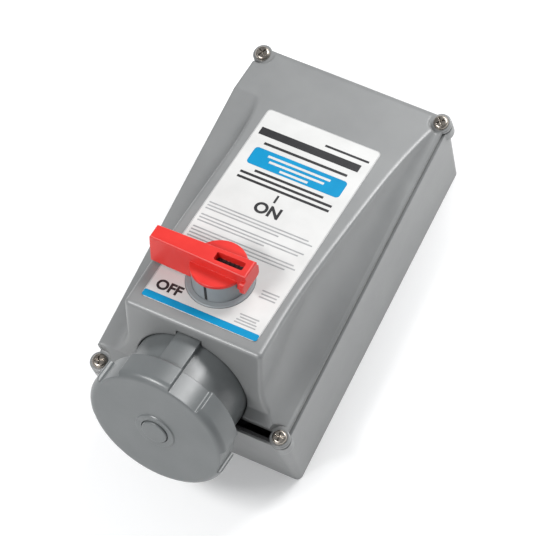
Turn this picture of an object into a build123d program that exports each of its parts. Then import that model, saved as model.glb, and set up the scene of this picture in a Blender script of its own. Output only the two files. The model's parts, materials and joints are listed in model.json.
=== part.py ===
from build123d import *
import os
from math import asin, atan2, cos, radians, sin

# Wall-mounted pin-and-sleeve receptacle with an interlocked rotary switch.
# Frame: origin at the centre of the rear mounting face, +Z out of the wall,
# -Y toward the receptacle end, +X to the right as seen from the front. Millimetres.

# --- enclosure -------------------------------------------------------------------
RIM_HALF_X, RIM_HALF_Y = 93.0, 162.0
BACK_HALF_X, BACK_TOP_Y, BACK_LOW_Y = 91.5, 150.0, -161.5
BASE_WALL, BACK_WALL = 4.0, 5.0
RIM_CORNER, BACK_CORNER = 9.0, 5.0
GASKET_T = 1.5
JOINT_Z = 85.0                       # underside of the cover flange
BASE_TOP_Z = JOINT_Z - GASKET_T
SCREW_X, SCREW_Y = 87.0, 154.5
BOSS_R = 9.0

# --- cover -----------------------------------------------------------------------
COVER_WALL = 4.0
COVER_HALF_X, COVER_HALF_Y = 91.2, 160.5
FLANGE_TOP_Z = 88.6
SHOULDER_Z = 102.0                   # top of the shoulder left of the raised part
FOOT_X = 88.0                        # where the flared right wall meets the flange
# Raised part along y: right ridge x, right flare height, left wall x, left cove radius.
ROWS = [(-151.5, 63.2, 137.0, -63.2, 21.0), (-60.0, 66.4, 137.0, -63.0, 21.0),
        (11.0, 69.6, 131.0, -62.5, 18.0), (50.0, 72.1, 121.0, -62.0, 16.0),
        (88.0, 75.2, 110.5, -61.5, 12.0), (118.0, 78.8, 103.0, -61.0, 9.0),
        (158.0, 82.5, 96.0, -61.0, 9.0)]
RIDGE_R = 4.0
FACE_TILT = 16.5
FACE_LOW_Y, FACE_LOW_Z = -118.5, 170.5
RECEPTACLE_TILT = 20.0
AXIS_BELOW_EDGE = 68.8               # receptacle axis below the face's lower edge
APRON_Y, APRON_Z = -151.5, 94.0
POCKET_R = 10.5

# --- receptacle ------------------------------------------------------------------
COLLAR_R, COLLAR_BORE = 52.0, 46.5
COLLAR_FRONT = 50.0
CUTOUT_GAP = 1.0
RIB_HALF_X, RIB_TOP = 11.0, 57.0
RIB_FRONT = 34.4
FLANGE_R, FLANGE_Z0, FLANGE_Z1, FLANGE_LOW = 61.0, -9.5, -5.0, -55.0
CAP_FRONT, CAP_REAR = 60.6, 35.6
CAP_R, CAP_RECESS_R, CAP_BORE = 65.0, 61.3, 56.5
LOBES, RECESS_ANGLE, RECESS_AT = 5, 27.0, 63.0
LUG_ANGLES = (30.0, 150.0, 270.0)
BUTTON_R = 12.0
POLE_R, POLE_CIRCLE = 8.0, 27.0
PHASE_ANGLES, GROUND_ANGLE = (135.0, 225.0, 315.0), 45.0
LOCK_Y0, LOCK_Y1, LOCK_HALF_W = 50.5, 54.5, 4.0
LOCK_TIP, LOCK_TAIL, LOCK_GAP = 33.0, -44.5, 0.4
RECEPTACLE_SCREW_ANGLES = (15, 57, 123, 165)
CARRIER_SCREW_ANGLES = (0, 120, 180, 240)
GUIDE_SCREW_X, GUIDE_SCREW_Y = 12.0, 53.0

# --- handle and switch (heights are above the sloping face) ------------------------
HUB_ALONG = 54.5                     # hub centre above the face's lower edge
BOSS_H, BOSS_R2, BEZEL_R = 19.8, 24.0, 29.3
SHAFT_R, SHAFT_GAP = 6.0, 0.05
HUB_R, HUB_LOW, HUB_DISC, HUB_TOP = 24.6, 20.3, 23.3, 33.0
GRIP_END, GRIP_TIP = -61.5, 31.0
GRIP_LOW, GRIP_TOP_W, GRIP_LOW_W, GRIP_TIP_W = 2.5, 13.8, 17.5, 19.0
CAM_TOP, CAM_T, CAM_R = -11.2, 3.0, 31.0
FOLLOWER_R, FOLLOWER_IN, FOLLOWER_OUT = 2.5, 16.0, 26.0
SWITCH_TOP, SWITCH_BACK = -51.0, -92.0
SWITCH_HALF_X, SWITCH_LOW_Y, SWITCH_HIGH_Y = 38.0, -26.0, 46.0
ROTOR_R, CAVITY_R = 15.0, 20.4
TERMINAL_X, TERMINAL_Z = (-24.0, 0.0, 24.0), -75.0
ROTOR_DECKS = (-82.0, -73.0, -64.0)
SWITCH_SCREWS = [(-33, -20), (33, -20), (-33, 40), (33, 40)]
BRACKET_SCREW_X, BRACKET_SCREW_Y = 45.0, (-105.0, -58.0)
LABEL_X, LABEL_HALF_X, LABEL_LEN, LABEL_MID = 2.5, 54.7, 221.0, 68.0
PLATE_LOW_Z, PLATE_T = 9.0, 2.0
PLATE_HALF_X, PLATE_Y0, PLATE_Y1 = 72.0, -128.0, 128.0
LUG_X, LUG_Y = 58.0, -92.0
WIRE_PLANE = -28.6
MOUNT_X, MOUNT_Y0, MOUNT_Y1, MOUNT_HOLE = 72.0, -140.0, 136.0, 8.5
CONDUIT_R, CONDUIT_Z = 25.0, 45.0

ft, rt = radians(FACE_TILT), radians(RECEPTACLE_TILT)
OUT = Vector(0, -cos(rt), sin(rt))            # receptacle axis, pointing out
FACE_N = Vector(0, sin(ft), cos(ft))
FACE_UP = Vector(0, cos(ft), -sin(ft))
EDGE = Vector(0, FACE_LOW_Y, FACE_LOW_Z)
WALL_O = EDGE - Vector(0, sin(rt), cos(rt)) * AXIS_BELOW_EDGE
HUB_O = EDGE + FACE_UP * HUB_ALONG
REC = Plane(origin=WALL_O, x_dir=(1, 0, 0), z_dir=OUT)
FACE = Plane(origin=HUB_O, x_dir=(1, 0, 0), z_dir=FACE_N)

CORNERS = [(x, y) for x in (-SCREW_X, SCREW_X) for y in (-SCREW_Y, SCREW_Y)]
PLATE_SCREWS = [(x, y) for x in (-PLATE_HALF_X + 8, PLATE_HALF_X - 8) for y in (PLATE_Y0 + 8, PLATE_Y1 - 8)]
BIG = 400.0


def block(x0, x1, y0, y1, z0, z1):
    return Pos((x0 + x1) / 2, (y0 + y1) / 2, (z0 + z1) / 2) * Box(x1 - x0, y1 - y0, z1 - z0)


def rod(radius, z0, z1, x=0.0, y=0.0):
    return Pos(x, y, (z0 + z1) / 2) * Cylinder(radius, z1 - z0)


def ring(outer, inner, z0, z1, x=0.0, y=0.0):
    return rod(outer, z0, z1, x, y) - rod(inner, z0 - 1, z1 + 1, x, y)


def hexagon(across, z0, z1, x=0.0, y=0.0):
    outline = RegularPolygon(across / 2, 6, major_radius=False)
    return Pos(x, y, z0) * extrude(outline, z1 - z0)


def slab(z, half_x, y0, y1, radius):
    outline = RectangleRounded(2 * half_x, y1 - y0, radius)
    return Pos(0, (y0 + y1) / 2, z) * outline


def pan_head(radius, height, cross=0.9):
    """A pan head with a cross recess, seat at z = 0."""
    head = rod(radius, 0, height)
    head = fillet(head.edges().group_by(Axis.Z)[-1], height * 0.6)
    arm = Box(radius * 1.25, cross, height)
    return head - Pos(0, 0, height * 0.95) * (arm + Rot(0, 0, 90) * arm)


def machine_screw(head_r, head_h, shank_r, length):
    return pan_head(head_r, head_h, head_r * 0.2) + rod(shank_r, -length, 0)


def face_half_space(offset):
    """Everything outside the sloping face, moved in by offset."""
    return FACE * block(-BIG, BIG, -BIG, BIG, -offset, BIG)


def end_half_space(offset):
    """Everything outside the receptacle wall, moved in by offset."""
    return REC * block(-BIG, BIG, -BIG, BIG, -offset, BIG)


# --- enclosure -------------------------------------------------------------------
def base_shell():
    outer = loft([slab(0, BACK_HALF_X, BACK_LOW_Y, BACK_TOP_Y, BACK_CORNER),
                  slab(BASE_TOP_Z, RIM_HALF_X, -RIM_HALF_Y, RIM_HALF_Y, RIM_CORNER)])
    slope = (RIM_HALF_Y - BACK_TOP_Y) / BASE_TOP_Z
    inner = loft([slab(BACK_WALL, BACK_HALF_X - BASE_WALL, BACK_LOW_Y + BASE_WALL,
                       BACK_TOP_Y + slope * BACK_WALL - BASE_WALL, 4),
                  slab(BASE_TOP_Z + 1, RIM_HALF_X - BASE_WALL, -RIM_HALF_Y + BASE_WALL,
                       RIM_HALF_Y - BASE_WALL, 6)])
    return outer, outer - inner


def make_base():
    outer, base = base_shell()
    for x, y in CORNERS:
        base += rod(BOSS_R, BASE_TOP_Z - 12, BASE_TOP_Z, x, y)
        base += Pos(x, y, BASE_TOP_Z - 32) * Cone(4, BOSS_R, 40) & outer
    for x, y in CORNERS:
        base -= rod(4.1, BASE_TOP_Z - 16, BASE_TOP_Z + 1, x, y)
    for x in (-PLATE_HALF_X + 8, PLATE_HALF_X - 8):
        for y in (PLATE_Y0 + 8, PLATE_Y1 - 8):
            base += rod(6, BACK_WALL - 1, PLATE_LOW_Z, x, y)
            base -= rod(2.6, BACK_WALL - 2.5, PLATE_LOW_Z + 1, x, y)
    for x in (-MOUNT_X, MOUNT_X):
        for y in (MOUNT_Y0, MOUNT_Y1):
            base += rod(9, BACK_WALL - 1, BACK_WALL + 2, x, y)
            base -= rod(MOUNT_HOLE / 2, -1, BACK_WALL + 3, x, y)
    base -= REC * rod(COLLAR_R + CUTOUT_GAP, -60, 60)
    base -= CONDUIT * rod(CONDUIT_R + 0.3, -20, 30)
    return base


# The top wall leans: the conduit frame sits on its outer face.
TOP_LEAN = (RIM_HALF_Y - BACK_TOP_Y) / BASE_TOP_Z
CONDUIT = Plane(origin=(0, BACK_TOP_Y + TOP_LEAN * CONDUIT_Z, CONDUIT_Z), x_dir=(1, 0, 0),
                z_dir=Vector(0, 1, -TOP_LEAN))


def raised_section(y, ridge_x, flare_z, left_x, cove_r, inset):
    """Raised part at one y: the right wall flares to the flange, the left one has a cove."""
    rise = flare_z - FLANGE_TOP_Z
    turn = 2 * atan2(FOOT_X - ridge_x, rise)
    flare_r = (FOOT_X - ridge_x) / (1 - cos(turn))
    centre_x, r = ridge_x + flare_r, flare_r + inset
    end = asin(rise / r)
    foot_x = centre_x - r * cos(end)
    mid = (centre_x - r * cos(end / 2), flare_z - r * sin(end / 2))
    flare = ThreePointArc((foot_x, FLANGE_TOP_Z), mid, (ridge_x - inset, flare_z))
    x, z, c = left_x + inset, SHOULDER_Z - inset, cove_r + inset
    k = c * (1 - cos(radians(45)))
    cove = ThreePointArc((x, z + c), (x - k, z + k), (x - c, z))
    top = Polyline((ridge_x - inset, flare_z), (ridge_x - inset, 190), (x, 190), (x, z + c))
    low = JOINT_Z - 1 if inset else FLANGE_TOP_Z - 1.5
    foot = Polyline((x - c, z), (x - c, low), (foot_x, low), (foot_x, FLANGE_TOP_Z))
    return Plane(origin=(0, y, 0), x_dir=(1, 0, 0), z_dir=(0, -1, 0)) * make_face(flare + top + cove + foot)


def cover_body(inset):
    """The raised cover form with its left shoulder; inset moves every wall in."""
    first, *middle, last = ROWS
    rows = [(first[0] + inset, *first[1:]), *middle, (last[0] - inset, *last[1:])]
    floor = JOINT_Z - (1 if inset else 0)
    shoulder = slab(floor, COVER_HALF_X - inset, APRON_Y + inset, COVER_HALF_Y - inset, 8 - inset / 2)
    body = extrude(shoulder, SHOULDER_Z - inset - floor) & block(-BIG, 0, -BIG, BIG, 0, BIG)
    body += loft([raised_section(*row, inset) for row in rows])
    return body - face_half_space(inset)


def cut_end(body, inset):
    """Lean the end wall back, leaving the low apron in front of it."""
    apron = Pos(0, APRON_Y + inset, APRON_Z - inset * 0.4) * Rot(45, 0, 0)
    keep_low = apron * block(-BIG, BIG, -BIG, BIG, -BIG, 0)
    return body - (end_half_space(inset) - keep_low)


def make_cover():
    plate = extrude(slab(JOINT_Z, COVER_HALF_X, APRON_Y, COVER_HALF_Y, 8), FLANGE_TOP_Z - JOINT_Z)
    outer = cut_end(plate + cover_body(0), 0)
    for y in (-SCREW_Y, SCREW_Y):
        outer -= rod(POCKET_R, FLANGE_TOP_Z, 200, SCREW_X, y)
    outer = soften(outer)
    inner = cut_end(cover_body(COVER_WALL), COVER_WALL)
    cover = outer - inner
    flange = extrude(slab(JOINT_Z, COVER_HALF_X, -COVER_HALF_Y, COVER_HALF_Y, 9),
                     FLANGE_TOP_Z - JOINT_Z)
    flange -= block(-COVER_HALF_X + 11, COVER_HALF_X - 11, -COVER_HALF_Y - 1, COVER_HALF_Y - 9,
                    JOINT_Z - 1, FLANGE_TOP_Z + 1)
    flange -= block(-SCREW_X + 9, SCREW_X - 9, -COVER_HALF_Y - 1, APRON_Y + 1, JOINT_Z - 1, FLANGE_TOP_Z + 1)
    cover += flange
    for x, y in CORNERS:
        cover += rod(BOSS_R - 0.2, JOINT_Z, FLANGE_TOP_Z, x, y)
        wall = ring(POCKET_R + 3, POCKET_R, JOINT_Z, FLANGE_TOP_Z + 45, x, y)
        cover += wall & outer
        cover -= rod(POCKET_R, FLANGE_TOP_Z, 200, x, y)
        cover -= rod(3.4, JOINT_Z - 1, FLANGE_TOP_Z + 1, x, y)
    cover -= REC * rod(COLLAR_R + CUTOUT_GAP, -70, 90)
    cover -= REC * block(-RIB_HALF_X - 1, RIB_HALF_X + 1, 30, RIB_TOP + 1, -12, 60)
    for x, y in [polar(56, a) for a in RECEPTACLE_SCREW_ANGLES]:
        cover -= REC * rod(2.15, -8, -1.2, x, y)
    cover -= FACE * rod(10.3, -10, 5)
    return cover


def soften(body):
    """Round the outer ridges and the left shoulder's rim."""
    ridges = []
    for e in body.edges():
        c = e.center()
        on_face = abs((c - EDGE).dot(FACE_N)) < 0.05
        on_end = abs((c - EDGE).dot(OUT)) < 0.05
        if on_face and (c.Z > SHOULDER_Z + 2 or c.X > 0) and c.Y < 140:
            ridges.append(e)
        elif on_end and c.Z > FLANGE_TOP_Z + 33:
            ridges.append(e)
    body = fillet(ridges, RIDGE_R)
    rim = [e for e in body.edges() if e.length > 20 and abs(e.center().Z - SHOULDER_Z) < 0.05
           and abs(e.center().X + COVER_HALF_X) < 0.05]
    return fillet(rim, 1.5)


def make_cover_gasket():
    outline = slab(BASE_TOP_Z, COVER_HALF_X - 0.5, -COVER_HALF_Y + 0.5, COVER_HALF_Y - 0.5, 8)
    body = extrude(outline, GASKET_T)
    hole = extrude(slab(BASE_TOP_Z - 1, RIM_HALF_X - BASE_WALL - 0.5, -RIM_HALF_Y + BASE_WALL + 0.5,
                        RIM_HALF_Y - BASE_WALL - 0.5, 5), GASKET_T + 2)
    body -= hole
    for x, y in CORNERS:
        body += rod(BOSS_R - 0.6, BASE_TOP_Z, JOINT_Z, x, y)
        body -= rod(3.6, BASE_TOP_Z - 1, JOINT_Z + 1, x, y)
    return body - REC * rod(COLLAR_R + CUTOUT_GAP, -60, 60)


def make_cover_screws():
    one = machine_screw(6.5, 4.2, 3.0, 16)
    return [Pos(x, y, FLANGE_TOP_Z) * Rot(0, 0, 25 + 37 * i) * one for i, (x, y) in enumerate(CORNERS)]


def make_screw_inserts():
    one = ring(4.1, 3.1, BASE_TOP_Z - 14, BASE_TOP_Z)
    return [Pos(x, y, 0) * one for x, y in CORNERS]


def make_label():
    plate = Pos(LABEL_X, LABEL_MID, 0) * extrude(RectangleRounded(2 * LABEL_HALF_X, LABEL_LEN, 4), 0.5)
    return FACE * (plate - rod(BEZEL_R + 0.4, -1, 2))


# --- receptacle ------------------------------------------------------------------
def sector(radius, z0, z1, centre, span):
    """A pie slice about the local axis, centred on an angle in degrees."""
    a, reach = radians(span / 2), 2 * radius
    outline = Polyline((0, 0), (reach * cos(a), -reach * sin(a)), (reach * cos(a), reach * sin(a)),
                       close=True)
    return Rot(0, 0, centre) * Pos(0, 0, z0) * extrude(make_face(outline), z1 - z0)


def lug(outer, inner, z0, z1, centre, span):
    return ring(outer, inner, z0, z1) & sector(outer, z0, z1, centre, span)


def polar(radius, angle):
    return radius * cos(radians(angle)), radius * sin(radians(angle))


def around(radius, angles, item):
    return [Pos(*polar(radius, a), 0) * item for a in angles]


def bolt_channel(z0, z1, gap):
    return block(-LOCK_HALF_W - gap, LOCK_HALF_W + gap, LOCK_Y0 - gap, LOCK_Y1 + gap, z0, z1)


def make_receptacle_housing():
    body = rod(COLLAR_R, FLANGE_Z0, COLLAR_FRONT)
    body += rod(FLANGE_R, FLANGE_Z0, FLANGE_Z1) & block(-80, 80, FLANGE_LOW, 57.5, -20, 0)
    rib = block(-RIB_HALF_X, RIB_HALF_X, 40, 80, FLANGE_Z0, RIB_FRONT)
    body += rib & rod(RIB_TOP, FLANGE_Z0, RIB_FRONT)
    for a in LUG_ANGLES:
        body += lug(COLLAR_R + 3.4, COLLAR_R - 1, 43.5, 48.0, a, 28)
    body -= rod(COLLAR_BORE, FLANGE_Z0 - 1, COLLAR_FRONT + 1)
    body -= bolt_channel(FLANGE_Z0 - 1, RIB_FRONT + 1, LOCK_GAP)
    slot_half = LOCK_HALF_W + LOCK_GAP
    body -= block(-slot_half, slot_half, LOCK_Y0 - LOCK_GAP, 80, RIB_FRONT, COLLAR_FRONT + 1)
    for x, y in [polar(56, a) for a in RECEPTACLE_SCREW_ANGLES]:
        body -= rod(2.3, FLANGE_Z0 - 1, FLANGE_Z1 + 1, x, y)
    for x, y in [polar(48.9, a) for a in CARRIER_SCREW_ANGLES]:
        body -= rod(1.3, FLANGE_Z0 - 1, FLANGE_Z0 + 8, x, y)
    for x in (-GUIDE_SCREW_X, GUIDE_SCREW_X):
        body -= rod(1.5, FLANGE_Z0 - 1, FLANGE_Z0 + 6, x, GUIDE_SCREW_Y)
    return REC * body


def make_receptacle_gasket():
    body = ring(FLANGE_R - 0.5, COLLAR_R + 0.8, FLANGE_Z1, -COVER_WALL)
    body -= block(-RIB_HALF_X - 1, RIB_HALF_X + 1, 40, 80, -20, 0)
    body = body & block(-80, 80, FLANGE_LOW, 57, -20, 0)
    for x, y in [polar(56, a) for a in RECEPTACLE_SCREW_ANGLES]:
        body -= rod(2.3, -20, 0, x, y)
    return REC * body


def make_receptacle_screws():
    one = Pos(0, 0, FLANGE_Z0) * Rot(180, 0, 0) * machine_screw(3.8, 2.8, 2.0, 8)
    return [REC * s for s in around(56, RECEPTACLE_SCREW_ANGLES, one)]


def make_carrier():
    body = rod(COLLAR_BORE - 0.3, FLANGE_Z0 - 2, 34) + rod(51.6, FLANGE_Z0 - 4, FLANGE_Z0)
    body -= block(-18, 18, COLLAR_BORE - 1.5, 60, -20, FLANGE_Z0)
    for a in PHASE_ANGLES:
        x, y = polar(POLE_CIRCLE, a)
        body -= rod(POLE_R + 0.2, -9, 40, x, y) + rod(4.2, -20, 0, x, y)
    x, y = polar(POLE_CIRCLE, GROUND_ANGLE)
    body -= rod(POLE_R + 1.7, -9, 40, x, y) + rod(4.2, -20, 0, x, y)
    for x, y in [polar(48.9, a) for a in CARRIER_SCREW_ANGLES]:
        body -= rod(1.6, -20, 0, x, y)
    return REC * body


def contact(radius, bore, front):
    body = rod(radius, -8.8, front) + rod(4, -25, -7) - rod(bore, -3, front + 1)
    return body - rod(2.3, -26, -20)


def make_power_contacts():
    return [REC * c for c in around(POLE_CIRCLE, PHASE_ANGLES, contact(POLE_R, 5.2, 30))]


def make_ground_contact():
    return REC * around(POLE_CIRCLE, [GROUND_ANGLE], contact(POLE_R + 1.5, 6.5, 32))[0]


def make_contact_nuts():
    one = hexagon(13, -17.8, -13.6) - rod(4.05, -20, -12)
    return [REC * n for n in around(POLE_CIRCLE, (*PHASE_ANGLES, GROUND_ANGLE), one)]


def make_carrier_screws():
    one = Pos(0, 0, FLANGE_Z0 - 4) * Rot(180, 0, 0) * machine_screw(2.5, 2, 1.25, 10)
    return [REC * s for s in around(48.9, CARRIER_SCREW_ANGLES, one)]


def make_lock_guide():
    body = block(-8, 8, 47.6, 57.5, -19, FLANGE_Z0)
    body += block(-16, 16, 47.6, 57.5, FLANGE_Z0 - 3.5, FLANGE_Z0)
    body -= bolt_channel(-20, 0, 0.08)
    for x in (-GUIDE_SCREW_X, GUIDE_SCREW_X):
        body -= rod(1.7, -20, 0, x, GUIDE_SCREW_Y)
    return REC * body


def make_guide_screws():
    one = Pos(0, 0, FLANGE_Z0 - 3.5) * Rot(180, 0, 0) * machine_screw(2.8, 2, 1.4, 8)
    return [REC * Pos(x, GUIDE_SCREW_Y, 0) * one for x in (-GUIDE_SCREW_X, GUIDE_SCREW_X)]


def make_lock_bolt():
    bar = block(-LOCK_HALF_W, LOCK_HALF_W, LOCK_Y0, LOCK_Y1, LOCK_TAIL, LOCK_TIP)
    bar = chamfer(bar.edges().group_by(Axis.Z)[-1], 0.8)
    pin = FACE * rod(FOLLOWER_R, CAM_TOP - CAM_T - 3, CAM_TOP + 0.8, 0, -FOLLOWER_IN)
    return REC * bar + pin


def grip_outline():
    """Cap outline with its grip lobes, corners rounded."""
    outline = Circle(CAP_R)
    for i in range(LOBES):
        a, reach = radians(RECESS_ANGLE / 2), 2 * CAP_R
        wedge = make_face(Polyline((0, 0), (reach * cos(a), -reach * sin(a)),
                                   (reach * cos(a), reach * sin(a)), close=True))
        outline -= Rot(0, 0, RECESS_AT + i * 360 / LOBES) * (wedge - Circle(CAP_RECESS_R))
    return fillet(outline.vertices(), 1.4)


def make_closure_cap():
    body = rod(CAP_R, CAP_REAR, CAP_FRONT)
    body = fillet(body.edges().group_by(Axis.Z)[-1], 6.5)
    body = chamfer(body.edges().group_by(Axis.Z)[0], 0.8)
    body = body & Pos(0, 0, CAP_REAR - 1) * extrude(grip_outline(), CAP_FRONT - CAP_REAR + 2)
    body += Pos(0, 0, CAP_FRONT - 1) * Cone(19.5, 18, 2.2, align=(Align.CENTER, Align.CENTER, Align.MIN))
    body -= rod(CAP_BORE, CAP_REAR - 1, 54.6)
    body -= rod(BUTTON_R + 0.7, CAP_FRONT - 2, CAP_FRONT + 5)
    body -= rod(6.2, 50, CAP_FRONT + 2)
    for a in LUG_ANGLES:
        body += lug(CAP_BORE + 1, COLLAR_R + 0.6, 38.0, 42.8, a, 26)
    return REC * body


def make_cap_seal():
    return REC * ring(CAP_BORE - 0.2, 44, 50.5, 54.6)


def make_cap_button():
    head = rod(BUTTON_R, CAP_FRONT - 2, CAP_FRONT + 2.8)
    head = fillet(head.edges().group_by(Axis.Z)[-1], 1.2)
    return REC * (head + rod(6, 52, CAP_FRONT) + rod(9, 52.4, 54.6))


# --- handle ----------------------------------------------------------------------
def make_bezel():
    body = ring(BEZEL_R, BOSS_R2 + 0.3, 0, 1.6)
    return FACE * chamfer(body.edges().group_by(Axis.Z)[-1].sort_by(SortBy.LENGTH)[-1], 0.8)


def index_slot(depth):
    return block(-1.2, 1.2, -BOSS_R2 - 0.15, -BOSS_R2 + depth, 2.2, BOSS_H - 0.6)


def make_boss():
    body = rod(BOSS_R2, 0, BOSS_H) + rod(10, -9.5, 1)
    body -= rod(SHAFT_R + SHAFT_GAP, -20, BOSS_H + 1)
    body -= rod(9, BOSS_H - 4, BOSS_H + 1)
    return FACE * (body - index_slot(1.2))


def make_index_mark():
    return FACE * index_slot(1.0)


def make_boss_nut():
    body = hexagon(27, -9.0, -COVER_WALL) - rod(10.1, -20, 0)
    return FACE * body


def make_shaft_seal():
    return FACE * ring(8.9, SHAFT_R + 0.35, BOSS_H - 3.9, BOSS_H - 0.6)


def make_shaft():
    body = rod(SHAFT_R, -87.5, 24.6) - ring(SHAFT_R + 1, SHAFT_R - 0.8, -11.05, -9.85)
    flats = block(-10, 10, SHAFT_R - 1.2, 10, HUB_LOW, 30) + block(-10, 10, -10, -SHAFT_R + 1.2, HUB_LOW, 30)
    return FACE * (body - flats)


def make_shaft_clip():
    body = ring(9, SHAFT_R - 0.75, -10.95, -9.95) - block(-2.5, 2.5, 3, 12, -12, -9)
    return FACE * body


def grip_section(x, low_w, top_w):
    low, top = low_w / 2, top_w / 2
    points = [(-low, GRIP_LOW), (low, GRIP_LOW), (top, HUB_TOP), (-top, HUB_TOP)]
    outline = make_face(Polyline(*points, close=True))
    return Plane(origin=(x, 0, 0), x_dir=(0, 1, 0), z_dir=(1, 0, 0)) * outline


def make_handle():
    bar = loft([grip_section(GRIP_END, GRIP_LOW_W, GRIP_TOP_W), grip_section(GRIP_TIP, 22, GRIP_TIP_W)])
    bar = fillet(bar.edges().group_by(Axis.Z)[-1], 1.8)
    bar -= block(0, 40, -20, 20, 0, 14)
    hub = rod(HUB_R, HUB_LOW, HUB_DISC)
    hub = fillet(hub.edges().group_by(Axis.Z)[-1], 1.0)
    lip = block(GRIP_TIP - 4, GRIP_TIP, -14, 12, 14, HUB_TOP - 6)
    lip = fillet(lip.edges().filter_by(Axis.X), 3)
    body = bar + hub + lip - rod(BOSS_R2 + 0.8, -1, HUB_LOW)
    body -= Pos(11, 0, 29.5) * fillet(Box(27, 8.4, 8).edges().filter_by(Axis.Z), 1.5)
    socket = rod(SHAFT_R + 0.05, HUB_LOW - 1, 24.7) & block(-10, 10, -4.85, 4.85, 0, 40)
    return FACE * (body - socket)


def make_cam():
    body = rod(CAM_R, CAM_TOP - CAM_T, CAM_TOP) - rod(SHAFT_R + 0.05, -30, 0)
    mid = (FOLLOWER_IN + FOLLOWER_OUT) / 2
    path = ThreePointArc((0, -FOLLOWER_IN), polar(mid, -45), (FOLLOWER_OUT, 0))
    slot = SlotArc(path, 2 * FOLLOWER_R + 1.4)
    return FACE * (body - Pos(0, 0, CAM_TOP - CAM_T - 1) * extrude(slot, CAM_T + 2))


# --- rotary switch ---------------------------------------------------------------
def make_switch_housing():
    body = block(-SWITCH_HALF_X, SWITCH_HALF_X, SWITCH_LOW_Y, SWITCH_HIGH_Y, SWITCH_BACK, SWITCH_TOP)
    body = fillet(body.edges().filter_by(Axis.Z), 3)
    body -= rod(CAVITY_R, SWITCH_BACK + 4, SWITCH_TOP + 1)
    body -= block(-28, 28, CAVITY_R + 4, SWITCH_HIGH_Y - 8, SWITCH_BACK + 4, SWITCH_TOP + 1)
    for x, y in SWITCH_SCREWS:
        body -= rod(1.9, -100, -40, x, y)
    for x in TERMINAL_X:
        for y0, y1 in ((SWITCH_HIGH_Y - 8, SWITCH_HIGH_Y + 1), (SWITCH_LOW_Y - 1, SWITCH_LOW_Y + 4.5)):
            body -= block(x - 6.2, x + 6.2, y0, y1, TERMINAL_Z - 5.2, TERMINAL_Z + 5.2)
    return FACE * body


def make_switch_lid():
    body = block(-SWITCH_HALF_X, SWITCH_HALF_X, SWITCH_LOW_Y, SWITCH_HIGH_Y, SWITCH_TOP, SWITCH_TOP + 4)
    body = fillet(body.edges().filter_by(Axis.Z), 3) + rod(11, SWITCH_TOP, SWITCH_TOP + 9)
    body -= rod(SHAFT_R + 0.4, -60, -30)
    for x, y in SWITCH_SCREWS:
        body -= rod(1.9, -60, -40, x, y)
    return FACE * body


def rotor_contact(z):
    body = ring(12, 8, z, z + 2.5)
    for s in (-1, 1):
        x0, x1 = sorted((s * 10.5, s * 19.5))
        body += block(x0, x1, -4, 4, z, z + 2.5)
    return body


def make_rotor():
    body = rod(ROTOR_R, -87, SWITCH_TOP - 1.5) - rod(SHAFT_R + 0.05, -90, -40)
    for z in ROTOR_DECKS:
        body -= rotor_contact(z)
    return FACE * body


def make_rotor_contacts():
    return [FACE * rotor_contact(z) for z in ROTOR_DECKS]


def make_line_terminals():
    bodies = []
    for x in TERMINAL_X:
        b = block(x - 6, x + 6, SWITCH_HIGH_Y - 7.8, SWITCH_HIGH_Y + 7, TERMINAL_Z - 5, TERMINAL_Z + 5)
        b -= Pos(x, SWITCH_HIGH_Y + 3, TERMINAL_Z) * Rot(90, 0, 0) * Cylinder(2.6, 9)
        b -= rod(1.6, TERMINAL_Z, TERMINAL_Z + 6, x, SWITCH_HIGH_Y + 3.4)
        bodies.append(FACE * b)
    return bodies


def make_load_terminals():
    bodies = []
    for x in TERMINAL_X:
        b = block(x - 6, x + 6, SWITCH_LOW_Y, SWITCH_LOW_Y + 4.3, TERMINAL_Z - 5, TERMINAL_Z + 5)
        b -= Pos(x, SWITCH_LOW_Y + 1.4, TERMINAL_Z) * Rot(90, 0, 0) * Cylinder(2.7, 4)
        bodies.append(FACE * b)
    return bodies


def make_terminal_screws():
    one = pan_head(2.6, 2.0) + rod(1.5, -2.2, 0)
    at = [Pos(x, SWITCH_HIGH_Y + 3.4, TERMINAL_Z + 5) for x in TERMINAL_X]
    return [FACE * p * one for p in at]


def make_switch_screws():
    one = machine_screw(3.4, 2.6, 1.6, SWITCH_TOP + 4 - SWITCH_BACK + 1.9)
    return [FACE * Pos(x, y, SWITCH_TOP + 4) * one for x, y in SWITCH_SCREWS]


def make_switch_bracket():
    t = PLATE_T
    z0 = PLATE_LOW_Z + PLATE_T
    deck = FACE * block(-SWITCH_HALF_X, SWITCH_HALF_X, SWITCH_LOW_Y + 1, SWITCH_HIGH_Y - 1,
                        SWITCH_BACK - t, SWITCH_BACK)
    low = FACE.from_local_coords(Vector(0, SWITCH_LOW_Y + 1, SWITCH_BACK - t / 2))
    high = FACE.from_local_coords(Vector(0, SWITCH_HIGH_Y - 1, SWITCH_BACK - t / 2))
    outline = Polyline((low.Y, z0), (low.Y, low.Z), (high.Y, high.Z), (high.Y, z0), close=True)
    side = extrude(Plane.YZ * make_face(outline), t)
    body = deck
    for x in (-SWITCH_HALF_X, SWITCH_HALF_X - t):
        body += Pos(x, 0, 0) * side
    for s in (-1, 1):
        x0, x1 = sorted((s * (SWITCH_HALF_X - t), s * (SWITCH_HALF_X + 14)))
        body += block(x0, x1, low.Y, high.Y, z0, z0 + t)
        for y in BRACKET_SCREW_Y:
            body -= rod(2.3, z0 - 1, z0 + 3, s * BRACKET_SCREW_X, y)
    for x, y in SWITCH_SCREWS:
        body -= FACE * rod(1.75, -100, SWITCH_BACK + 1, x, y)
    return body


def make_bracket_screws():
    one = machine_screw(3.6, 2.8, 2.0, PLATE_T + 3.5)
    z = PLATE_LOW_Z + 2 * PLATE_T
    return [Pos(s * BRACKET_SCREW_X, y, z) * one for s in (-1, 1) for y in BRACKET_SCREW_Y]


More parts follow.
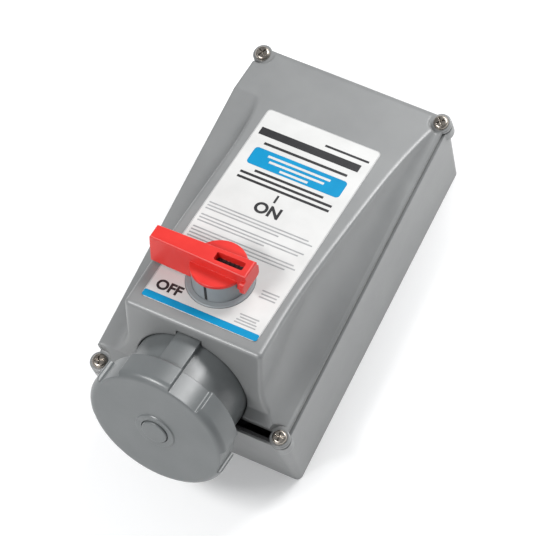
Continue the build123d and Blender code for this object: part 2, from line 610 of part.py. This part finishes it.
# --- back plate and wiring ---------------------------------------------------------
def make_back_plate():
    body = extrude(slab(PLATE_LOW_Z, PLATE_HALF_X, PLATE_Y0, PLATE_Y1, 5), PLATE_T)
    for x, y in PLATE_SCREWS:
        body -= rod(2.6, 0, 20, x, y)
    for s in (-1, 1):
        for y in BRACKET_SCREW_Y:
            body -= rod(2.2, 0, 20, s * BRACKET_SCREW_X, y)
    return body - rod(2.2, 0, 20, LUG_X, LUG_Y)


def make_plate_screws():
    one = machine_screw(4.2, 3.2, 2.4, 5.5)
    return [Pos(x, y, PLATE_LOW_Z + PLATE_T) * one for x, y in PLATE_SCREWS]


def make_ground_lug():
    z = PLATE_LOW_Z + PLATE_T
    body = block(LUG_X - 5, LUG_X + 5, LUG_Y - 6, LUG_Y + 6, z, z + 2.5)
    body += block(LUG_X - 5, LUG_X + 5, LUG_Y - 18, LUG_Y - 6, z, z + 10)
    body -= rod(2.2, 0, 20, LUG_X, LUG_Y)
    return body - rod(2.6, z + 4, z + 20, LUG_X, LUG_Y - 12)


def make_ground_screw():
    return Pos(LUG_X, LUG_Y, PLATE_LOW_Z + PLATE_T + 2.5) * machine_screw(3.8, 3, 2.0, 6)


def cable(points, radius, bend):
    path = FilletPolyline(*points, radius=bend)
    return sweep(Plane(path @ 0, z_dir=path % 0) * Circle(radius), path)


def make_phase_wires():
    wires = []
    for angle, x1 in zip(PHASE_ANGLES, TERMINAL_X):
        x0, y0 = polar(POLE_CIRCLE, angle)
        end = REC.to_local_coords(FACE.from_local_coords(Vector(x1, SWITCH_LOW_Y + 1.2, TERMINAL_Z)))
        points = [(x0, y0, -21.5), (x0, y0, WIRE_PLANE), (x1, end.Y, WIRE_PLANE), tuple(end)]
        wires.append(REC * cable(points, 1.9, 2.6))
    return wires


def make_ground_wire():
    x0, y0 = polar(POLE_CIRCLE, GROUND_ANGLE)
    start = [REC.from_local_coords(Vector(*p)) for p in
             ((x0, y0, -21.5), (x0, y0, WIRE_PLANE), (LUG_X, y0, WIRE_PLANE))]
    lug = Vector(LUG_X, LUG_Y - 12, PLATE_LOW_Z + PLATE_T + 5)
    return cable([*start, lug + Vector(0, 0, 25), lug], 1.9, 3.4)


# --- conduit entry -----------------------------------------------------------------
def make_conduit_plug():
    body = rod(29, 1, 6)
    body = fillet(body.edges().group_by(Axis.Z)[-1], 2)
    body += rod(CONDUIT_R - 0.3, -14, 1)
    body -= rod(19, -15, 2)
    return CONDUIT * (body - block(-14, 14, -1.5, 1.5, 4, 7))


def make_conduit_seal():
    return CONDUIT * ring(28, CONDUIT_R + 0.2, 0, 1)


def make_conduit_locknut():
    body = ring(31, CONDUIT_R - 0.2, -9, -4.3)
    for a in range(0, 360, 45):
        x, y = polar(31, a)
        body -= rod(2.5, -10, 0, x, y)
    return CONDUIT * body


# --- export ------------------------------------------------------------------------
NODES = {
    "base_box": make_base, "cover": make_cover, "cover_gasket": make_cover_gasket,
    "cover_screws": make_cover_screws, "screw_inserts": make_screw_inserts,
    "label_plate": make_label, "handle_bezel": make_bezel, "handle_boss": make_boss,
    "index_mark": make_index_mark, "boss_nut": make_boss_nut, "handle": make_handle,
    "handle_shaft": make_shaft, "shaft_seal": make_shaft_seal, "shaft_clip": make_shaft_clip,
    "interlock_cam": make_cam, "lock_bolt": make_lock_bolt, "lock_guide": make_lock_guide,
    "guide_screws": make_guide_screws, "switch_housing": make_switch_housing,
    "switch_lid": make_switch_lid, "switch_rotor": make_rotor,
    "rotor_contacts": make_rotor_contacts, "line_terminals": make_line_terminals,
    "load_terminals": make_load_terminals, "terminal_screws": make_terminal_screws,
    "switch_screws": make_switch_screws, "switch_bracket": make_switch_bracket,
    "bracket_screws": make_bracket_screws, "back_plate": make_back_plate,
    "plate_screws": make_plate_screws, "receptacle_housing": make_receptacle_housing,
    "receptacle_gasket": make_receptacle_gasket, "receptacle_screws": make_receptacle_screws,
    "contact_carrier": make_carrier, "carrier_screws": make_carrier_screws,
    "power_contacts": make_power_contacts, "ground_contact": make_ground_contact,
    "contact_nuts": make_contact_nuts, "closure_cap": make_closure_cap, "cap_seal": make_cap_seal,
    "cap_button": make_cap_button, "phase_wires": make_phase_wires, "ground_wire": make_ground_wire,
    "ground_lug": make_ground_lug, "ground_screw": make_ground_screw,
    "conduit_plug": make_conduit_plug, "conduit_seal": make_conduit_seal,
    "conduit_locknut": make_conduit_locknut,
}

os.makedirs("parts", exist_ok=True)
for name, make in NODES.items():
    made = make()
    if isinstance(made, list):
        made = Compound(children=[solid for item in made for solid in item.solids()])
    made.label = name
    export_step(made, f"parts/{name}.step")
    print(name, len(made.solids()), made.is_valid, flush=True)
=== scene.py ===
import bpy
import json
from math import radians, sin, cos
from mathutils import Matrix, Vector


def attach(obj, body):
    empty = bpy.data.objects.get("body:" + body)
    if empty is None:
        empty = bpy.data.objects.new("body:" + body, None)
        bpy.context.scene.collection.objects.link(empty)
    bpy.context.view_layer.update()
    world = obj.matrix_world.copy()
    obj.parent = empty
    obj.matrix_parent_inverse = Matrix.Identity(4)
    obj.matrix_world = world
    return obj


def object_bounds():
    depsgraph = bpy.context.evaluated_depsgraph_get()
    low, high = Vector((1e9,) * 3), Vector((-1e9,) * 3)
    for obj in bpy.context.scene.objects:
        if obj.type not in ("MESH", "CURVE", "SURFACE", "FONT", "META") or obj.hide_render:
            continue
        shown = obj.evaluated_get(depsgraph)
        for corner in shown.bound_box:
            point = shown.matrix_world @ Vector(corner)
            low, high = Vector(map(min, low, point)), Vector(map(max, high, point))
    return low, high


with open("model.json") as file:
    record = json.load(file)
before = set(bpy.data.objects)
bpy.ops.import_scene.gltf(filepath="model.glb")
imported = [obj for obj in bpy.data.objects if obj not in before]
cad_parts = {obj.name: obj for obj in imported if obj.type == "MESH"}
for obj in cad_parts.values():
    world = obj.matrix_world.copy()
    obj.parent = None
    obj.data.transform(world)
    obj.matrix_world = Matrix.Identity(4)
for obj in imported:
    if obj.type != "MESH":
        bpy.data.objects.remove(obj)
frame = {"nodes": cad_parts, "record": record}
cad_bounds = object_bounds()
MM = 0.001

# --- the sloping face's own frame, with its origin at the handle's hub -------------
FACE_TILT = radians(16.5)
HUB_ALONG = 54.5                      # hub above the face's lower edge, along the face
EDGE = Vector((0, -118.5, 170.5)) * MM
FACE_N = Vector((0, sin(FACE_TILT), cos(FACE_TILT)))
FACE_UP = Vector((0, cos(FACE_TILT), -sin(FACE_TILT)))
HUB = EDGE + FACE_UP * HUB_ALONG * MM
X = Vector((1, 0, 0))


def frame_matrix(origin, x, y, z):
    m = Matrix((x, y, z)).transposed().to_4x4()
    m.translation = origin
    return m


FACE_M = frame_matrix(HUB, X, FACE_UP, FACE_N)


# --- materials -------------------------------------------------------------------
def new_material(name):
    m = bpy.data.materials.new(name)
    m.use_nodes = True
    return m, m.node_tree.nodes, m.node_tree.links, m.node_tree.nodes["Principled BSDF"]


def mix_colour(nodes, links, factor, a, b):
    mix = nodes.new("ShaderNodeMix")
    mix.data_type = "RGBA"
    mix.inputs["A"].default_value = (*a, 1)
    mix.inputs["B"].default_value = (*b, 1)
    links.new(factor, mix.inputs["Factor"])
    return mix.outputs["Result"]


def ramp(nodes, links, source, low, high):
    r = nodes.new("ShaderNodeMapRange")
    r.inputs["From Min"].default_value = low
    r.inputs["From Max"].default_value = high
    links.new(source, r.inputs["Value"])
    return r.outputs["Result"]


def noise(nodes, links, scale, detail=4.0, stretch=(1, 1, 1)):
    coord = nodes.new("ShaderNodeTexCoord")
    mapping = nodes.new("ShaderNodeMapping")
    mapping.inputs["Scale"].default_value = stretch
    n = nodes.new("ShaderNodeTexNoise")
    n.inputs["Scale"].default_value = scale
    n.inputs["Detail"].default_value = detail
    links.new(coord.outputs["Object"], mapping.inputs["Vector"])
    links.new(mapping.outputs["Vector"], n.inputs["Vector"])
    return n.outputs["Fac"]


BEVEL_SAMPLES = 8


def surface(name, dark, light, rough=(0.35, 0.5), metallic=0.0, scale=60.0, bump_scale=900.0,
            bump=0.05, bump_mm=0.05, stretch=(1, 1, 1), edge=0.0, specular=0.5, bevel_mm=0.5):
    """A procedural finish: slow colour variation, finer roughness variation, a grain bump.

    Edges are rounded in the shading by bevel_mm, and are painted paler by the share given as edge: a
    painted highlight along rounded edges.
    """
    m, nodes, links, bsdf = new_material(name)
    slow = noise(nodes, links, scale, 5.0, stretch)
    colour = mix_colour(nodes, links, ramp(nodes, links, slow, 0.3, 0.7), dark, light)
    bevel = nodes.new("ShaderNodeBevel")
    bevel.samples = BEVEL_SAMPLES
    bevel.inputs["Radius"].default_value = bevel_mm * MM
    # Painted highlight: the colour turns paler where the bevelled normal leaves the face normal, along
    # rounded edges.
    if edge:
        geo = nodes.new("ShaderNodeNewGeometry")
        facing = nodes.new("ShaderNodeVectorMath")
        facing.operation = "DOT_PRODUCT"
        links.new(bevel.outputs["Normal"], facing.inputs[0])
        links.new(geo.outputs["Normal"], facing.inputs[1])
        painted_edge_highlight = ramp(nodes, links, facing.outputs["Value"], 0.999, 0.93)
        scaled = nodes.new("ShaderNodeMath")
        scaled.operation = "MULTIPLY"
        scaled.inputs[1].default_value = edge
        links.new(painted_edge_highlight, scaled.inputs[0])
        mix = nodes.new("ShaderNodeMix")
        mix.data_type = "RGBA"
        mix.inputs["B"].default_value = (*[min(1, c * 1.5 + 0.05) for c in light], 1)
        links.new(scaled.outputs[0], mix.inputs["Factor"])
        links.new(colour, mix.inputs["A"])
        colour = mix.outputs["Result"]
    links.new(colour, bsdf.inputs["Base Color"])
    fine = noise(nodes, links, scale * 4, 3.0, stretch)
    r = nodes.new("ShaderNodeMapRange")
    r.inputs["To Min"].default_value = rough[0]
    r.inputs["To Max"].default_value = rough[1]
    links.new(fine, r.inputs["Value"])
    links.new(r.outputs["Result"], bsdf.inputs["Roughness"])
    bsdf.inputs["Metallic"].default_value = metallic
    bsdf.inputs["Specular IOR Level"].default_value = specular
    grain = noise(nodes, links, bump_scale, 2.0, stretch)
    b = nodes.new("ShaderNodeBump")
    b.inputs["Strength"].default_value = bump
    b.inputs["Distance"].default_value = bump_mm * MM
    links.new(grain, b.inputs["Height"])
    links.new(bevel.outputs["Normal"], b.inputs["Normal"])
    links.new(b.outputs["Normal"], bsdf.inputs["Normal"])
    return m


GREY = surface("housing_grey", (0.200, 0.205, 0.206), (0.225, 0.230, 0.230), rough=(0.32, 0.42), scale=25,
               bump_scale=1400, bump=0.8, bump_mm=0.08, specular=0.9, bevel_mm=2.6)
# The cap and handle finishes get a painted highlight on their rounded edges through edge=.
CAP_GREY = surface("cap_grey", (0.120, 0.130, 0.132), (0.142, 0.152, 0.154), rough=(0.28, 0.38), scale=30,
                   bump_scale=1300, bump=0.5, bump_mm=0.06, edge=0.12, specular=0.7, bevel_mm=1.0)
BOSS_GREY = surface("boss_grey", (0.24, 0.262, 0.275), (0.27, 0.292, 0.305), rough=(0.4, 0.5), bump=0.2)
RED = surface("handle_red", (0.62, 0.018, 0.014), (0.70, 0.028, 0.020), rough=(0.34, 0.44), scale=40,
              bump_scale=1500, bump=0.2, bump_mm=0.05, edge=0.10)
BLACK = surface("mark_black", (0.008, 0.008, 0.008), (0.014, 0.014, 0.014), rough=(0.4, 0.5))
RUBBER = surface("seal_rubber", (0.032, 0.032, 0.033), (0.048, 0.048, 0.049), rough=(0.6, 0.8), bump=0.3)
STEEL = surface("screw_steel", (0.27, 0.24, 0.21), (0.46, 0.42, 0.37), rough=(0.20, 0.34), metallic=1.0,
                scale=160, bump=0.1)
ZINC = surface("zinc_plate", (0.50, 0.51, 0.52), (0.64, 0.65, 0.67), rough=(0.3, 0.45), metallic=1.0,
               scale=70, bump=0.1, stretch=(1, 6, 1))
BRASS = surface("contact_brass", (0.62, 0.43, 0.18), (0.74, 0.53, 0.24), rough=(0.25, 0.4), metallic=1.0)
COPPER = surface("contact_copper", (0.66, 0.33, 0.20), (0.78, 0.42, 0.27), rough=(0.25, 0.4), metallic=1.0)
MOULDED = surface("moulded_black", (0.016, 0.016, 0.018), (0.03, 0.03, 0.032), rough=(0.42, 0.55), bump=0.3)
WIRE_BLACK = surface("wire_black", (0.01, 0.01, 0.01), (0.02, 0.02, 0.02), rough=(0.35, 0.5))
WIRE_GREEN = surface("wire_green", (0.02, 0.14, 0.04), (0.03, 0.2, 0.06), rough=(0.35, 0.5))
PLUG_GREY = surface("plug_grey", (0.17, 0.185, 0.195), (0.205, 0.22, 0.23), rough=(0.4, 0.5), bump=0.3)
WHITE = surface("label_white", (0.60, 0.60, 0.59), (0.66, 0.66, 0.65), rough=(0.30, 0.38), scale=40,
                bump_scale=700, bump=0.05)
BLUE = surface("label_blue", (0.001, 0.22, 0.44), (0.002, 0.26, 0.50), rough=(0.34, 0.42), scale=50,
               bump=0.04, specular=0.2)
INK = surface("label_ink", (0.012, 0.012, 0.014), (0.022, 0.022, 0.024), rough=(0.3, 0.4), bump=0.04)
FINE = surface("label_fine_print", (0.30, 0.305, 0.31), (0.38, 0.385, 0.39), rough=(0.3, 0.4), bump=0.04)

FINISH = {
    "grey_body": GREY, "grey_cap": CAP_GREY, "grey_boss": BOSS_GREY, "red_handle": RED, "black_mark": BLACK,
    "label_white": WHITE, "screw_steel": STEEL, "plate_steel": ZINC, "brass_contact": BRASS,
    "copper_contact": COPPER, "seal_rubber": RUBBER, "switch_body": MOULDED, "carrier_black": MOULDED,
    "wire_black": WIRE_BLACK, "wire_green": WIRE_GREEN, "conduit_grey": PLUG_GREY,
}
for part in frame["record"]["subparts"]:
    node = frame["nodes"][part["node"]]
    for s in node.material_slots:
        s.link = "OBJECT"
        s.material = FINISH[part["material_slot"]]


# --- printed face ----------------------------------------------------------------
def from_verts(name, verts, faces, material, matrix, body):
    mesh = bpy.data.meshes.new(name)
    mesh.from_pydata([matrix @ (Vector(v) * MM) for v in verts], [], faces)
    mesh.materials.append(material)
    o = bpy.data.objects.new(name, mesh)
    bpy.context.collection.objects.link(o)
    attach(o, body)
    return o


def rounded(x0, x1, y0, y1, r, steps=8):
    out = []
    corners = ((x1 - r, y0 + r, -90), (x1 - r, y1 - r, 0), (x0 + r, y1 - r, 90), (x0 + r, y0 + r, 180))
    for cx, cy, a0 in corners:
        for i in range(steps + 1):
            a = radians(a0 + 90 * i / steps)
            out.append((cx + r * cos(a), cy + r * sin(a)))
    return out


def prism(name, outline, z0, z1, material, matrix, body):
    n = len(outline)
    verts = [(x, y, z0) for x, y in outline] + [(x, y, z1) for x, y in outline]
    faces = [tuple(range(n))[::-1], tuple(range(n, 2 * n))]
    faces += [(i, (i + 1) % n, n + (i + 1) % n, n + i) for i in range(n)]
    return from_verts(name, verts, faces, material, matrix, body)


def along(t):
    """Face-plane y of a height above the face's lower edge."""
    return t - HUB_ALONG


TOP, SINK, SKIN = 0.5, 0.05, 0.08     # top of the plate; how deep and how high the ink goes
LX = 2.5                              # the plate is this far right of the middle


def print_block(name, x0, x1, t0, t1, r, material):
    outline = rounded(x0, x1, along(t0), along(t1), r)
    return prism(name, outline, TOP - SINK, TOP + SKIN, material, FACE_M, "enclosure")


def print_text(name, words, x, t, size, material, bold=0.0):
    curve = bpy.data.curves.new(name, "FONT")
    curve.body = words
    curve.align_x = "CENTER"
    curve.align_y = "CENTER"
    curve.size = size * MM
    curve.extrude = 0.04 * MM
    curve.offset = bold * MM
    text = bpy.data.objects.new(name, curve)
    bpy.context.collection.objects.link(text)
    text.matrix_world = FACE_M @ Matrix.Translation((x * MM, along(t) * MM, (TOP + 0.06) * MM))
    dg = bpy.context.evaluated_depsgraph_get()
    mesh = bpy.data.meshes.new_from_object(text.evaluated_get(dg))
    mesh.transform(text.matrix_world)
    bpy.data.objects.remove(text)
    mesh.materials.clear()
    mesh.materials.append(material)
    o = bpy.data.objects.new(name, mesh)
    bpy.context.collection.objects.link(o)
    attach(o, "enclosure")
    return o


def fine_lines(name, x0, x1, t_top, rows, pitch, height, material, ragged=(0.0,), centred=False, lift=0.0):
    """Rows of plain bars standing in for small print, as one object."""
    verts, faces = [], []
    for i in range(rows):
        short = ragged[i % len(ragged)] * (x1 - x0)
        a = x0 + (short / 2 if centred else 0.0)
        b = x1 - (short / 2 if centred else short)
        t = t_top - i * pitch
        k = len(verts)
        y0, y1 = along(t), along(t + height)
        for z in (TOP - SINK, TOP + SKIN + lift):
            verts += [(a, y0, z), (b, y0, z), (b, y1, z), (a, y1, z)]
        faces += [(k + 3, k + 2, k + 1, k), (k + 4, k + 5, k + 6, k + 7), (k, k + 1, k + 5, k + 4),
                  (k + 1, k + 2, k + 6, k + 5), (k + 2, k + 3, k + 7, k + 6), (k + 3, k, k + 4, k + 7)]
    return from_verts(name, verts, faces, material, FACE_M, "enclosure")


print_block("label_low_band", LX - 54.5, LX + 54.5, 12.3, 19.3, 2.0, BLUE)
print_block("label_title_band", LX - 44.5, LX + 44.5, 173.0, 192.0, 3.5, BLUE)
print_text("label_on", "ON", LX - 2.5, 135.0, 15.5, INK, 0.55)
print_text("label_on_mark", "I", LX - 1.5, 148.5, 11.0, INK, 0.45)
print_text("label_off", "OFF", LX - 36.5, 28.0, 13.5, INK, 0.5)
fine_lines("label_heading", LX - 40, LX + 40, 196.5, 1, 5.0, 2.6, INK)
fine_lines("label_title_bar", LX - 50, LX + 46, 205.0, 1, 8.0, 8.0, INK)
fine_lines("label_class_bar", LX + 8, LX + 50, 217.5, 1, 8.0, 2.2, INK)
fine_lines("label_band_lines", LX - 30, LX + 30, 185.5, 3, 5.2, 2.4, WHITE, (0.0, 0.12, 0.55), True, 0.06)
fine_lines("label_instructions", LX - 44, LX + 44, 167.0, 3, 5.4, 2.5, INK, (0.25, 0.0, 0.0), True)
fine_lines("label_notes_a", LX - 51, LX + 49, 121.5, 3, 3.4, 1.3, FINE, (0.05, 0.0, 0.3))
fine_lines("label_notes_b", LX - 51, LX + 47, 107.5, 3, 3.4, 1.3, FINE, (0.0, 0.04, 0.35))
fine_lines("label_notes_c", LX - 51, LX + 48, 93.5, 4, 3.4, 1.3, FINE, (0.03, 0.0, 0.08, 0.4))
fine_lines("label_marks", LX + 34, LX + 50, 60.0, 3, 3.4, 1.3, FINE, (0.0, 0.1, 0.05), True)
fine_lines("label_marks_low", LX + 28, LX + 48, 31.0, 4, 2.9, 1.2, FINE, (0.1, 0.25, 0.05, 0.0), True)

# A thin printed line round the plate.
LINE_HALF_W, LINE_LOW, LINE_HIGH, LINE_R = 54.3, 13.6, 232.8, 3.8
LINE_W, LINE_RISE = 0.4, 0.03
ring_verts = []
for k in (0, LINE_W):
    outline = rounded(LX - LINE_HALF_W + k, LX + LINE_HALF_W - k, along(LINE_LOW + k), along(LINE_HIGH - k),
                      LINE_R - k)
    ring_verts += [(x, y, TOP + LINE_RISE) for x, y in outline]
count = len(ring_verts) // 2
ring_faces = [(i, (i + 1) % count, count + (i + 1) % count, count + i) for i in range(count)]
from_verts("label_outline", ring_verts, ring_faces, FINE, FACE_M, "enclosure")

# Black floor set in the padlock slot: painted shade for the inside of the slot, with dark rubber ribs on
# it.
SLOT_X0, SLOT_X1, SLOT_HALF_W = -2.0, 24.0, 3.7
SLOT_Z = 25.5
RIBS, RIB_PITCH, RIB_HALF_W = 6, 4.0, 0.5
# Painted shade: a black plate where the inside of the slot is in shadow.
prism("slot_shade_floor", rounded(SLOT_X0, SLOT_X1, -SLOT_HALF_W, SLOT_HALF_W, 1.0), SLOT_Z, SLOT_Z + 0.4,
      MOULDED, FACE_M, "handle")
for i in range(RIBS):
    x = SLOT_X0 + 3.0 + RIB_PITCH * i
    outline = rounded(x - RIB_HALF_W, x + RIB_HALF_W, -SLOT_HALF_W + 0.1, SLOT_HALF_W - 0.1, 0.3, 2)
    prism(f"slot_rib_{i}", outline, SLOT_Z + 0.3, SLOT_Z + 1.1, RUBBER, FACE_M, "handle")


# --- stage -----------------------------------------------------------------------
def plain(name, colour, rough, glow):
    m, nodes, links, bsdf = new_material(name)
    bsdf.inputs["Emission Color"].default_value = (1, 1, 1, 1)
    bsdf.inputs["Emission Strength"].default_value = glow
    bsdf.inputs["Base Color"].default_value = (*colour, 1)
    bsdf.inputs["Roughness"].default_value = rough
    return m


FLOOR_SIZE, FLOOR_GAP = 12, 0.2 * MM
bpy.ops.mesh.primitive_plane_add(size=FLOOR_SIZE, location=(0, 0, cad_bounds[0][2] - FLOOR_GAP))
floor = bpy.context.object
floor.name = "floor"
floor.data.materials.append(plain("floor_white", (0.92, 0.92, 0.92), 0.7, 0.14))

world = bpy.data.worlds.new("studio")
bpy.context.scene.world = world
world.use_nodes = True
sky = world.node_tree.nodes["Background"]
sky.inputs["Color"].default_value = (0.95, 0.97, 1.0, 1)
sky.inputs["Strength"].default_value = 0.34


def area(name, at, target, size, power):
    light = bpy.data.lights.new(name, "AREA")
    light.shape = "RECTANGLE"
    light.size, light.size_y = size
    light.energy = power
    o = bpy.data.objects.new(name, light)
    o.location = at
    o.rotation_euler = (Vector(target) - Vector(at)).to_track_quat("-Z", "Y").to_euler()
    bpy.context.collection.objects.link(o)
    return o


centre = (0, -0.02, 0.08)             # middle of the object, in metres as the lights are
area("key", (0.08, 0.98, 0.86), centre, (0.55, 0.40), 4.8)
area("ridge_glint", (0.50, 0.92, 0.74), (0.07, 0.0, 0.13), (0.40, 0.30), 9)
area("edge_glint", (-0.40, -0.56, 1.22), centre, (0.5, 0.2), 10)
area("front_fill", (-0.05, -1.6, 0.9), centre, (1.2, 0.7), 5)

# --- camera ----------------------------------------------------------------------
# Angles in radians; distance, width of view at the origin and shifts in millimetres.
AZ, EL, ROLL = 0.906, 1.143, -0.471
DIST, VIEW_W = 3229.0, 467.39
SHIFT_X, SHIFT_Y = 19.4, -10.6
SENSOR_W = 36.0
toward = Vector((cos(EL) * sin(AZ), -cos(EL) * cos(AZ), sin(EL)))
right0 = Vector((cos(AZ), sin(AZ), 0))
up0 = toward.cross(right0)
right = cos(ROLL) * right0 + sin(ROLL) * up0
up = -sin(ROLL) * right0 + cos(ROLL) * up0
cam_data = bpy.data.cameras.new("camera")
cam_data.sensor_width = SENSOR_W
cam_data.lens = DIST / VIEW_W * SENSOR_W
cam_data.clip_end = 50
cam = bpy.data.objects.new("camera", cam_data)
cam.matrix_world = frame_matrix((toward * DIST - right * SHIFT_X - up * SHIFT_Y) * MM, right, up, toward)
bpy.context.collection.objects.link(cam)
bpy.context.scene.camera = cam
bpy.context.scene.view_settings.view_transform = "Standard"
